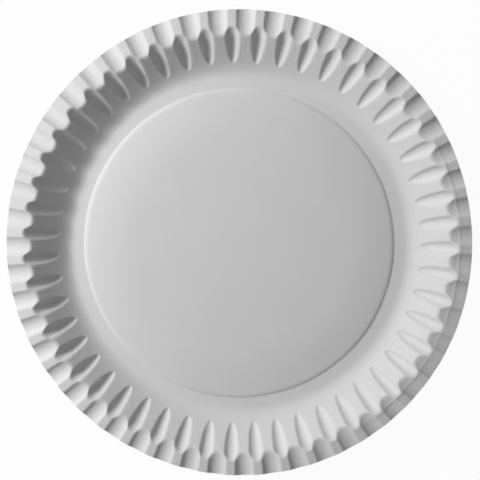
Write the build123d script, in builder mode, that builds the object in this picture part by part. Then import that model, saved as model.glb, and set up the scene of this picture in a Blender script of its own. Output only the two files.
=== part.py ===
"""A round dinner plate pressed from one blank of white paperboard.

The board is pressed warm between two matched dies. The middle is a flat disc whose border
rolls down to a small step, and the step stands on a narrow flat ring. From the ring the wall
sweeps up to a rim that falls slightly outwards. The circumference that the flat blank has to
spare is taken up by flutes: scoops pressed outwards into the wall, and scoops pressed down
into the rim. The two rows are half a pitch apart, so that wall and rim meet along a
scalloped shoulder.

The origin is on the table under the plate's centre, and +Z points up. A wall scoop points
along +X. All sizes are in millimetres and degrees, and are those of the board's upper face.
"""

import os
from math import cos, radians, sin

from build123d import *

# The board and the plate as a whole, with its height to the corner between wall and rim
board = 0.45
plate_diameter = 230.0
plate_height = 16.5

# The rim
rim_width = 10.1
rim_slope = 8.0

# The wall and the bend at its foot
wall_slope = 43.0
wall_bend = 8.7

# The standing ring, the step up from it, and the rolled border of the disc
ring_width = 4.4
step_slope = 20.0
step_height = 0.9
border_slope = 9.0
border_radius = 64.0

# The scoops in the wall, from a blunt nose just above the bend up to the shoulder
flutes = 51
nose_gap = 2.0
wall_scoop_radius = 5.0
wall_scoop_nose_depth = 0.5
wall_scoop_depth = 1.9

# The scoops in the rim, deepest at the plate's edge
rim_scoop_radius = 7.2
rim_scoop_inner_depth = 1.75
rim_scoop_depth = 2.1

# What the pressed forms have beyond the plate, before its edge is trimmed
spare = 1.0

# The shoulder, where the upper faces of wall and rim would meet without scoops
edge_radius = plate_diameter / 2
shoulder = Vector(edge_radius - rim_width, 0, plate_height)
up_wall = Vector(cos(radians(wall_slope)), 0, sin(radians(wall_slope)))
out_of_wall = Vector(-up_wall.Z, 0, up_wall.X)
along_rim = Vector(cos(radians(rim_slope)), 0, -sin(radians(rim_slope)))
out_of_rim = Vector(-along_rim.Z, 0, along_rim.X)

# The straight wall, from the end of its bend, and the ring under the bend
bend_rise = wall_bend * (1 - cos(radians(wall_slope)))
wall_length = (plate_height - board - bend_rise) / up_wall.Z
ring_radius = shoulder.X - wall_length * up_wall.X - wall_bend * up_wall.Z


def scoop_tool(nose, tail, radius, depth):
    """A round bar with blunt ends, grown all round by the depth under the upper face."""
    run = tail - nose
    with BuildPart() as tool:
        with BuildSketch(Plane(origin=nose, z_dir=run).offset(-depth)):
            Circle(radius + depth)
        extrude(amount=run.length + depth)
    return tool.part


def wall_scoop_tool(depth):
    """The bar that presses one wall scoop, sinking in from its nose up to the shoulder."""
    foot = shoulder - up_wall * (wall_length - nose_gap)
    nose = foot + out_of_wall * (wall_scoop_radius - wall_scoop_nose_depth)
    top = shoulder + out_of_wall * (wall_scoop_radius - wall_scoop_depth)
    overrun = (top - nose).normalized() * wall_scoop_radius
    return scoop_tool(nose, top + overrun, wall_scoop_radius, depth)


def rim_scoop_tool(depth):
    """The bar that presses one rim scoop, sinking in from the shoulder out to the edge."""
    edge = shoulder + along_rim * (rim_width / along_rim.X)
    inner = shoulder + out_of_rim * (rim_scoop_radius - rim_scoop_inner_depth)
    outer = edge + out_of_rim * (rim_scoop_radius - rim_scoop_depth)
    overrun = (outer - inner).normalized() * rim_scoop_radius
    return scoop_tool(inner - overrun, outer + overrun, rim_scoop_radius, depth)


def pressed_form(face_line, depth):
    """All that lies under one face of the pressed board, at its depth under the upper face."""
    inner_end, *_, outer_end = face_line.vertices().sort_by(Axis.X)
    base = -spare - depth
    wall_tool = wall_scoop_tool(depth)
    rim_tool = rim_scoop_tool(depth)
    with BuildPart() as form:
        with BuildSketch(Plane.XZ):
            with BuildLine():
                add(face_line)
                Polyline(inner_end, (inner_end.X, base), (outer_end.X, base), outer_end)
            make_face()
        revolve(axis=Axis.Z)
        with PolarLocations(0, flutes):
            add(wall_tool, mode=Mode.SUBTRACT)
        with PolarLocations(0, flutes, start_angle=180 / flutes):
            add(rim_tool, mode=Mode.SUBTRACT)
    return form.part


# The section through the upper face, drawn from the standing ring inwards and outwards
with BuildLine() as upper_line:
    ring = Line((ring_radius, board), (ring_radius - ring_width, board))
    step = PolarLine(ring @ 1, step_height, 180 - step_slope, length_mode=LengthMode.VERTICAL)
    inwards = (-cos(radians(border_slope)), sin(radians(border_slope)))
    border = JernArc(step @ 1, inwards, border_radius, border_slope)
    Line(border @ 1, (0, (border @ 1).Y))
    bend = JernArc(ring @ 0, (1, 0), wall_bend, wall_slope)
    wall = Line(bend @ 1, (shoulder.X, shoulder.Z))
    PolarLine(wall @ 1, rim_width + spare, -rim_slope, length_mode=LengthMode.HORIZONTAL)
lower_line = offset(
    upper_line.line, board, kind=Kind.INTERSECTION, side=Side.LEFT, closed=False, mode=Mode.PRIVATE
)

upper_form = pressed_form(upper_line.line, 0)
lower_form = pressed_form(lower_line, board)
with BuildPart() as plate:
    add(upper_form)
    add(lower_form, mode=Mode.SUBTRACT)
    Cylinder(edge_radius, 2 * plate_height, mode=Mode.INTERSECT)

plate.part.label = "plate"
os.makedirs("parts", exist_ok=True)
export_step(plate.part, "parts/plate.step")
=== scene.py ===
from math import cos, exp, floor, pi, radians, sin, sqrt, tan

import bpy
from mathutils import Matrix, Vector


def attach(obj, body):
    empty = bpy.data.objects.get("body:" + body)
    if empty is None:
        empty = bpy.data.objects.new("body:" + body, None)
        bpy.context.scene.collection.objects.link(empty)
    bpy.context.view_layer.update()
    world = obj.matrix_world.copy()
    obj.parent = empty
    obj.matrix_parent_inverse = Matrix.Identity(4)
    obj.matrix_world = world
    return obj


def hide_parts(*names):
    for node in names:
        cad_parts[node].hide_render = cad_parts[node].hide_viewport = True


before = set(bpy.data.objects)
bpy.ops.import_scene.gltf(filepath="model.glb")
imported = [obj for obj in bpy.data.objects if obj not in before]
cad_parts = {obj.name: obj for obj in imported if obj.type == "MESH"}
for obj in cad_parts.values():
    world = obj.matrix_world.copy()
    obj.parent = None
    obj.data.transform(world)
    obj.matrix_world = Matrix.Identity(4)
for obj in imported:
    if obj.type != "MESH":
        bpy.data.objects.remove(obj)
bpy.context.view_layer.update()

# The plate is shaped by the height of the board's upper face at each radius and angle. Lengths
# are in millimetres and slopes in degrees. Angles round the plate are in radians and start at
# +X, in the middle of a wall scoop.
BOARD = 0.45
EDGE_RADIUS = 115.0
FLUTES = 51
PITCH = 2 * pi / FLUTES

# The rim and the wall, as they would be without scoops. The bend's length and power say how
# the wall's slope sets in from the standing ring outwards.
RIM_WIDTH = 10.9
RIM_SLOPE = 5.5
WALL_SLOPE = 46.0
WALL_BEND = 4.6
BEND_POWER = 1.4
SHOULDER = EDGE_RADIUS - RIM_WIDTH
RIM_SIN, RIM_COS = sin(radians(RIM_SLOPE)), cos(radians(RIM_SLOPE))
WALL_COS = cos(radians(WALL_SLOPE))

# The standing ring, the roll that steps up from it, and the falling border of the flat disc
RING_RADIUS = 84.0
RING_SLOPE = 3.5
ROLL_OUTER = 78.95
ROLL_INNER = 75.9
ROLL_SLOPE = 46.0
BORDER_SLOPE = 9.0
BORDER_INNER = 53.5

# The section's table: the step between its heights, the steps to each side over which corners
# are eased, and how far it runs past the shoulder
STEP = 0.1
SOFT = 2
SECTION_SPARE = 12

# Wall scoops: the short slope at the nose, then the lengths over which they sink and widen
NOSE_RADIUS = 91.7
NOSE_STEP = 0.7
NOSE_DEPTH = 0.36
WALL_DEPTH = 2.15
SINK_LENGTH = 9.0
WIDEN_LENGTH = 4.5

# Radii from which a wall scoop, and then the rim, can show at all
SCOOPS_FROM = NOSE_RADIUS - 2
RIM_FROM = SHOULDER - 12

# Radii across a scoop, of its bottom and of the lands beside it. The wall's have two, for the
# nose and for the widened scoop.
WALL_BOTTOM = (1.6, 4.0)
WALL_LAND = (0.45, 1.2)
RIM_BOTTOM = 6.2
RIM_LAND = 0.45

# Rim scoops: the depth at the shoulder and at the edge, and how far inside the shoulder, as a
# share of the rim's width, the depth still changes
RIM_DEPTH = (1.75, 2.1)
DEPTH_REACH = 0.3

# How far the corner between wall and rim is eased, in the middle of a rim scoop and between two
TONGUE_EASE = 1.3
TIP_EASE = 0.8

# The most by which scoops differ: sideways in pitches, along the wall, and as a share of depth
WALL_ASIDE = 0.02
WALL_ALONG = 0.25
WALL_DEEPER = 0.06
RIM_ASIDE = 0.015
RIM_DEEPER = 0.05

# How the rings wander in and out: by how much, in how many waves, and their phase
WANDER = ((0.08, 5, 1), (0.06, 13, 0))

# The wall and rim pressed off centre: by how much at most, which way, and where it sets in
OFF_CENTRE = 0.7
OFF_TOWARD = radians(-23)
OFF_FROM = 86
OFF_OVER = 20

# The edge: how far lands are drawn in and how far from the shoulder that starts, the waves in
# which it is out of round, each with a cosine and a sine share, and how softly they are cut
# off at the circle
EDGE_DRAW = 0.6
DRAW_FROM = 3
OUT_OF_ROUND = ((1, -0.21, -0.13), (2, 0.27, 0.11), (3, 0.44, 0.09))
TRIM_EASE = 0.01

# The press mark on the right of the rim, with its widths inside and outside its line
CREASE_RADIUS = 107.6
CREASE_MIDDLE = radians(-12)
CREASE_REACH = radians(48)
CREASE_FADE = 0.25
CREASE_WAVE = 0.1
CREASE_WAVES = 11
CREASE_INSIDE = 0.5
CREASE_OUTSIDE = 0.28
CREASE_HEIGHT = 0.13


def clamp(share):
    return min(max(share, 0), 1)


def between(a, b, share):
    return a + (b - a) * share


def smooth_min(a, b, k):
    """The lower of two heights, with the corner between them rounded over about k."""
    h = max(k - abs(a - b), 0) / k
    return min(a, b) - h * h * k / 4


def lean(r):
    """The angle at which the section climbs at radius r, without flutes."""
    if r > RING_RADIUS:
        return WALL_SLOPE * (1 - exp(-((r - RING_RADIUS) / WALL_BEND) ** BEND_POWER))
    if r > ROLL_OUTER:
        return -RING_SLOPE * (RING_RADIUS - r) / (RING_RADIUS - ROLL_OUTER)
    if r > ROLL_INNER:
        along = (r - ROLL_INNER) / (ROLL_OUTER - ROLL_INNER)
        return -BORDER_SLOPE - (ROLL_SLOPE - BORDER_SLOPE) * along * along
    return -BORDER_SLOPE * max(r - BORDER_INNER, 0) / (ROLL_INNER - BORDER_INNER)


def section_heights():
    """The section's height at each step of radius, with the lower face just above the table."""
    leans = [lean(i * STEP) for i in range(int((SHOULDER + SECTION_SPARE) / STEP))]
    heights = [0.0]
    for i in range(len(leans)):
        near = leans[max(0, i - SOFT):i + SOFT + 1]
        eased = sum(near) / len(near)
        heights.append(heights[-1] + tan(radians(eased)) * STEP)
    clearance = 0.005
    lift = BOARD + clearance - heights[int(RING_RADIUS / STEP)]
    return [h + lift for h in heights]


heights = section_heights()


def section(r):
    """The height of the board's upper face at radius r, without flutes and rim."""
    i = min(int(r / STEP), len(heights) - 2)
    f = r / STEP - i
    return heights[i] * (1 - f) + heights[i + 1] * f


SHOULDER_HEIGHT = section(SHOULDER)


def groove(y, depth, bottom, land):
    """How deep a groove is at y from its middle: a round bottom between two rounded lands."""
    both = bottom + land
    steepest = sqrt(max(1 - (1 - depth / both) ** 2, 0))
    y = abs(y)
    if y >= both * steepest:
        return 0.0
    if y <= bottom * steepest:
        return depth - (bottom - sqrt(bottom * bottom - y * y))
    y = both * steepest - y
    return land - sqrt(land * land - y * y)


def wall_scoop(along, y):
    """How deep a wall scoop is, square to the wall, above its nose and beside its middle."""
    if along < -NOSE_STEP:
        return 0.0
    widened = 1 - exp(-max(along, 0) / WIDEN_LENGTH)
    depth = between(NOSE_DEPTH, WALL_DEPTH, 1 - exp(-max(along, 0) / SINK_LENGTH))
    if along < 0:
        depth = NOSE_DEPTH * (1 + along / NOSE_STEP)
    return groove(y, depth, between(*WALL_BOTTOM, widened), between(*WALL_LAND, widened))


def vary(index, kind):
    """A fixed scatter between -1 and 1 for each scoop, as no two come out of the press alike."""
    return sin((index % FLUTES) * 12.9 + kind * 4.1) * cos((index % FLUTES) * 7.3 + kind * 9.7)


def crease(r, angle):
    """The faint ridge that a die's edge has left along the right of the rim."""
    aside = abs((angle - CREASE_MIDDLE + pi) % (2 * pi) - pi)
    fade = clamp((CREASE_REACH - aside) / CREASE_FADE)
    off = r - CREASE_RADIUS - CREASE_WAVE * sin(CREASE_WAVES * angle)
    off /= CREASE_OUTSIDE if off > 0 else CREASE_INSIDE
    return CREASE_HEIGHT * fade * exp(-off * off)


def upper(r, angle):
    """The height of the upper face, with all scoops pressed round one centre."""
    wandered = r
    for reach, waves, phase in WANDER:
        wandered += reach * sin(waves * angle + phase)
    wall = section(wandered)
    if r < SCOOPS_FROM:
        return wall

    pitches = angle / PITCH
    k = round(pitches)
    y = r * sin((pitches - k - WALL_ASIDE * vary(k, 1)) * PITCH)
    along = (r - NOSE_RADIUS - WALL_ALONG * vary(k, 2)) / WALL_COS
    wall -= wall_scoop(along, y) * (1 + WALL_DEEPER * vary(k, 3)) / WALL_COS
    if r < RIM_FROM:
        return wall

    k = floor(pitches)
    middle = pitches - k - 0.5 - RIM_ASIDE * vary(k, 4)
    out = min(max((r - SHOULDER) / RIM_WIDTH, -DEPTH_REACH), 1.0)
    depth = between(*RIM_DEPTH, out) * (1 + RIM_DEEPER * vary(k, 5))
    rim = SHOULDER_HEIGHT - (r - SHOULDER) * RIM_SIN / RIM_COS
    rim -= groove(r * sin(middle * PITCH), depth, RIM_BOTTOM, RIM_LAND) / RIM_COS
    ease = between(TONGUE_EASE, TIP_EASE, min(2 * abs(middle), 1))
    return smooth_min(wall, rim, ease) + crease(r, angle)


def surface(r, angle):
    """The upper face's height, with the wall and still more the rim pressed a little off centre."""
    off = OFF_CENTRE * clamp((r - OFF_FROM) / OFF_OVER)
    away = angle - OFF_TOWARD
    return upper(r - off * cos(away), angle + off * sin(away) / max(r, 1))


def trim(angle):
    """How far the edge lies inside its circle, as the plate was cut slightly out of round."""
    off = 0.0
    for waves, cosine, sine in OUT_OF_ROUND:
        off = off + cosine * cos(waves * angle) + sine * sin(waves * angle)
    return (off + sqrt(off * off + TRIM_EASE)) / 2


def drawn_in(r, angle):
    """The radius with the lands drawn in at the edge, where the round blank is gathered most."""
    turn = angle + OFF_CENTRE * sin(angle - OFF_TOWARD) / EDGE_RADIUS
    turn = (turn + PITCH / 2) % PITCH - PITCH / 2
    beside = r * sin(PITCH / 2 - abs(turn))
    land = groove(beside, RIM_DEPTH[1], RIM_BOTTOM, RIM_LAND) / RIM_DEPTH[1]
    near_edge = max(0.0, (r - SHOULDER - DRAW_FROM) / (EDGE_RADIUS - SHOULDER - DRAW_FROM))
    return r - (EDGE_DRAW * (1 - land) + trim(angle)) * near_edge


def point(r, angle):
    r = drawn_in(r, angle)
    return Vector((r * cos(angle), r * sin(angle), surface(r, angle)))


def normal_at(r, angle):
    """The direction straight out of the upper face."""
    nudge = 0.05
    turn = nudge / r
    slope_r = (surface(r + nudge, angle) - surface(r - nudge, angle)) / (2 * nudge)
    slope_a = (surface(r, angle + turn) - surface(r, angle - turn)) / (2 * nudge)
    radial = Vector((cos(angle), sin(angle), 0))
    around = Vector((-sin(angle), cos(angle), 0))
    return (Vector((0, 0, 1)) - radial * slope_r - around * slope_a).normalized()


# Columns within a pitch, close together where a scoop's sides lie, and few inside the scoops
HALF = (0.05, 0.1, 0.135, 0.16, 0.185, 0.225, 0.275, 0.32, 0.4)
COLUMNS = [-0.5] + [-u for u in reversed(HALF)] + [0.0] + list(HALF)
FEW = [-0.5, -0.25, 0.0, 0.25]

# Rings, each group from a radius on and in a number of steps up to the next group's radius
INNER_GROUPS = ((0.8, 4), (50.0, 9), (76.0, 15), (80.5, 9))
FLUTED_GROUPS = ((90.0, 7), (92.4, 7), (101.0, 13), (106.9, 8), (108.6, 4))
LAST_RING = EDGE_RADIUS - 0.02


def ring_radii(groups, end):
    radii = []
    for (a, n), (b, _) in zip(groups, groups[1:] + ((end, 0),)):
        radii += [a + (b - a) * i / n for i in range(n)]
    return radii


INNER_RINGS = ring_radii(INNER_GROUPS, FLUTED_GROUPS[0][0])
FLUTED_RINGS = ring_radii(FLUTED_GROUPS, LAST_RING) + [LAST_RING]


def build_plate():
    """The board as one closed mesh: the upper face, the lower face and the cut edge."""
    verts = []
    faces = []

    def add_face(corners, flip):
        faces.append(corners[::-1] if flip else corners)

    def add_ring(r, columns, under):
        start = len(verts)
        for f in range(FLUTES):
            for u in columns:
                angle = PITCH * (f + u)
                p = point(r, angle)
                if under:
                    p = p - normal_at(r, angle) * BOARD
                verts.append(p)
        return start, len(verts) - start

    def join(a, na, b, nb, flip):
        """Faces between ring a of na points and ring b of nb points, outside it."""
        if na == nb:
            for i in range(na):
                k = (i + 1) % na
                add_face((a + i, b + i, b + k, a + k), flip)
            return
        m = nb // na
        half = m // 2
        for i in range(na):
            k = (i + 1) % na
            outer = [b + (i * m + j) % nb for j in range(m + 1)]
            for j in range(m):
                apex = a + i if j < half else a + k
                add_face((apex, outer[j], outer[j + 1]), flip)
            add_face((a + i, outer[half], a + k), flip)

    outermost = []
    for under in (False, True):
        rings = [add_ring(r, FEW, under) for r in INNER_RINGS]
        rings += [add_ring(r, COLUMNS, under) for r in FLUTED_RINGS]
        for (a, na), (b, nb) in zip(rings, rings[1:]):
            join(a, na, b, nb, under)
        middle = len(verts)
        verts.append(Vector((0, 0, section(0) - (BOARD if under else 0))))
        first, n = rings[0]
        for i in range(n):
            add_face((middle, first + i, first + (i + 1) % n), under)
        outermost.append(rings[-1])
    (a, n), (b, _) = outermost
    join(a, n, b, n, False)

    mesh = bpy.data.meshes.new("plate_board")
    mesh.from_pydata([v / 1000 for v in verts], [], faces)
    mesh.validate()
    mesh.update()
    mesh.polygons.foreach_set("use_smooth", [True] * len(mesh.polygons))
    cut_edges = [range(start, start + count) for start, count in outermost]
    sharp = [any(e.vertices[0] in ring and e.vertices[1] in ring for ring in cut_edges)
             for e in mesh.edges]
    mesh.attributes.new("sharp_edge", "BOOLEAN", "EDGE").data.foreach_set("value", sharp)
    obj = bpy.data.objects.new("plate_board", mesh)
    bpy.context.collection.objects.link(obj)
    return obj


def add_node(tree, kind, operation=None, **values):
    """A new shader node, with the values of its inputs by their names."""
    node = tree.nodes.new("ShaderNode" + kind)
    if operation:
        node.operation = operation
    for name, value in values.items():
        node.inputs[name.replace("_", " ")].default_value = value
    return node


def times(tree, value, factor):
    """A node's value output times a plain number."""
    node = add_node(tree, "Math", "MULTIPLY")
    node.inputs[1].default_value = factor
    tree.links.new(value, node.inputs[0])
    return node.outputs["Value"]


def paper_material():
    """White board, slightly clouded, with fibre all over and radial wrinkles in wall and rim."""
    mat = bpy.data.materials.new("board")
    mat.use_nodes = True
    tree = mat.node_tree
    link = tree.links.new
    bsdf = tree.nodes["Principled BSDF"]
    bsdf.inputs["Roughness"].default_value = 0.62
    bsdf.inputs["Specular IOR Level"].default_value = 0.3
    place = add_node(tree, "TexCoord").outputs["Object"]

    # Clouding in a neutral white
    cloud = add_node(tree, "TexNoise", Scale=60.0, Detail=5.0)
    white = add_node(tree, "MapRange", To_Min=0.70, To_Max=0.74)
    colour = add_node(tree, "CombineColor")
    link(place, cloud.inputs["Vector"])
    link(cloud.outputs["Fac"], white.inputs["Value"])
    for channel in ("Red", "Green", "Blue"):
        link(white.outputs["Result"], colour.inputs[channel])
    link(colour.outputs["Color"], bsdf.inputs["Base Color"])

    # Radial wrinkles: noise in polar coordinates, in the rim about 1 mm across and 2.5 mm long
    per_radian, per_metre = 90.0, 400.0
    split = add_node(tree, "SeparateXYZ")
    turn = add_node(tree, "Math", "ARCTAN2")
    radius = add_node(tree, "VectorMath", "LENGTH")
    polar = add_node(tree, "CombineXYZ")
    wrinkle = add_node(tree, "TexNoise", Scale=1.0, Detail=3.0)
    link(place, split.inputs["Vector"])
    link(split.outputs["Y"], turn.inputs[0])
    link(split.outputs["X"], turn.inputs[1])
    link(place, radius.inputs[0])
    link(times(tree, turn.outputs["Value"], per_radian), polar.inputs["X"])
    link(times(tree, radius.outputs["Value"], per_metre), polar.inputs["Y"])
    link(polar.outputs["Vector"], wrinkle.inputs["Vector"])

    # The wrinkles set in above the foot of the wall, and the fibre lies on top of them
    fluted = add_node(tree, "MapRange", From_Min=0.090, From_Max=0.096)
    fold = add_node(tree, "Bump", Distance=0.0002)
    fibre = add_node(tree, "TexNoise", Scale=900.0, Detail=4.0)
    bump = add_node(tree, "Bump", Strength=0.12, Distance=0.00005)
    link(radius.outputs["Value"], fluted.inputs["Value"])
    link(fluted.outputs["Result"], fold.inputs["Strength"])
    link(wrinkle.outputs["Fac"], fold.inputs["Height"])
    link(place, fibre.inputs["Vector"])
    link(fibre.outputs["Fac"], bump.inputs["Height"])
    link(fold.outputs["Normal"], bump.inputs["Normal"])
    link(bump.outputs["Normal"], bsdf.inputs["Normal"])
    return mat


plate = build_plate()
plate.data.materials.append(paper_material())
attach(plate, "root")
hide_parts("plate")


def add_floor(half=3.0, glow_share=0.96):
    """A floor that glows white to the camera, and keeps the plate's shadow in what is left."""
    mesh = bpy.data.meshes.new("floor")
    corners = [(-half, -half, 0), (half, -half, 0), (half, half, 0), (-half, half, 0)]
    mesh.from_pydata(corners, [], [(0, 1, 2, 3)])
    obj = bpy.data.objects.new("floor", mesh)
    bpy.context.collection.objects.link(obj)

    mat = bpy.data.materials.new("floor")
    mat.use_nodes = True
    tree = mat.node_tree
    link = tree.links.new
    tree.nodes.remove(tree.nodes["Principled BSDF"])
    seen = add_node(tree, "LightPath").outputs["Is Camera Ray"]
    diffuse = add_node(tree, "BsdfDiffuse", Color=(0.8, 0.8, 0.8, 1))
    glow = add_node(tree, "Emission", Strength=1.0)
    mix = add_node(tree, "MixShader")
    link(times(tree, seen, glow_share), mix.inputs["Fac"])
    link(diffuse.outputs["BSDF"], mix.inputs[1])
    link(glow.outputs["Emission"], mix.inputs[2])
    link(mix.outputs["Shader"], tree.nodes["Material Output"].inputs["Surface"])
    mesh.materials.append(mat)


def light_world(surround=0.165):
    """A weak even surround, which the camera itself sees as white past the floor."""
    world = bpy.data.worlds.new("studio")
    bpy.context.scene.world = world
    world.use_nodes = True
    tree = world.node_tree
    background = tree.nodes["Background"]
    background.inputs["Color"].default_value = (1, 1, 1, 1)
    seen = add_node(tree, "LightPath").outputs["Is Camera Ray"]
    strength = add_node(tree, "MapRange", To_Min=surround, To_Max=1.0)
    tree.links.new(seen, strength.inputs["Value"])
    tree.links.new(strength.outputs["Result"], background.inputs["Strength"])


def add_lamp(azimuth, elevation, distance, size, power):
    """A round lamp that faces the middle of the plate, in degrees, metres and watts."""
    data = bpy.data.lights.new("key", "AREA")
    data.shape = "DISK"
    data.size = size
    data.energy = power
    obj = bpy.data.objects.new("key", data)
    a, e = radians(azimuth), radians(elevation)
    obj.location = Vector((cos(a) * cos(e), sin(a) * cos(e), sin(e))) * distance
    obj.rotation_euler = obj.location.to_track_quat("Z", "Y").to_euler()
    bpy.context.collection.objects.link(obj)


def add_camera(distance, tilt, toward, aim, roll, lens):
    """A camera over the origin, tilted and turned in degrees, that looks at a point in metres."""
    data = bpy.data.cameras.new("camera")
    data.lens = lens
    data.sensor_width = 36.0
    data.clip_start = 0.01
    obj = bpy.data.objects.new("camera", data)
    tilt, toward, roll = radians(tilt), radians(toward), radians(roll)
    obj.location = Vector((sin(tilt) * cos(toward), sin(tilt) * sin(toward), cos(tilt))) * distance
    back = (obj.location - Vector(aim)).normalized()
    right = Vector((0, 1, 0)).cross(back).normalized()
    up = back.cross(right)
    right, up = right * cos(roll) + up * sin(roll), up * cos(roll) - right * sin(roll)
    obj.rotation_euler = Matrix((right, up, back)).transposed().to_euler()
    bpy.context.collection.objects.link(obj)
    bpy.context.scene.camera = obj


# A small soft lamp at the left of the photograph, a weak surround, and a camera nearly overhead
# and as near as the shift between the plate's rings shows
add_floor()
light_world()
add_lamp(azimuth=157, elevation=38, distance=0.85, size=0.22, power=6.45)
add_camera(distance=0.375, tilt=4.745, toward=58.45, aim=(0.001637, 0.003514, 0.016),
           roll=0.22, lens=55.125)
bpy.context.scene.view_settings.view_transform = "Standard"
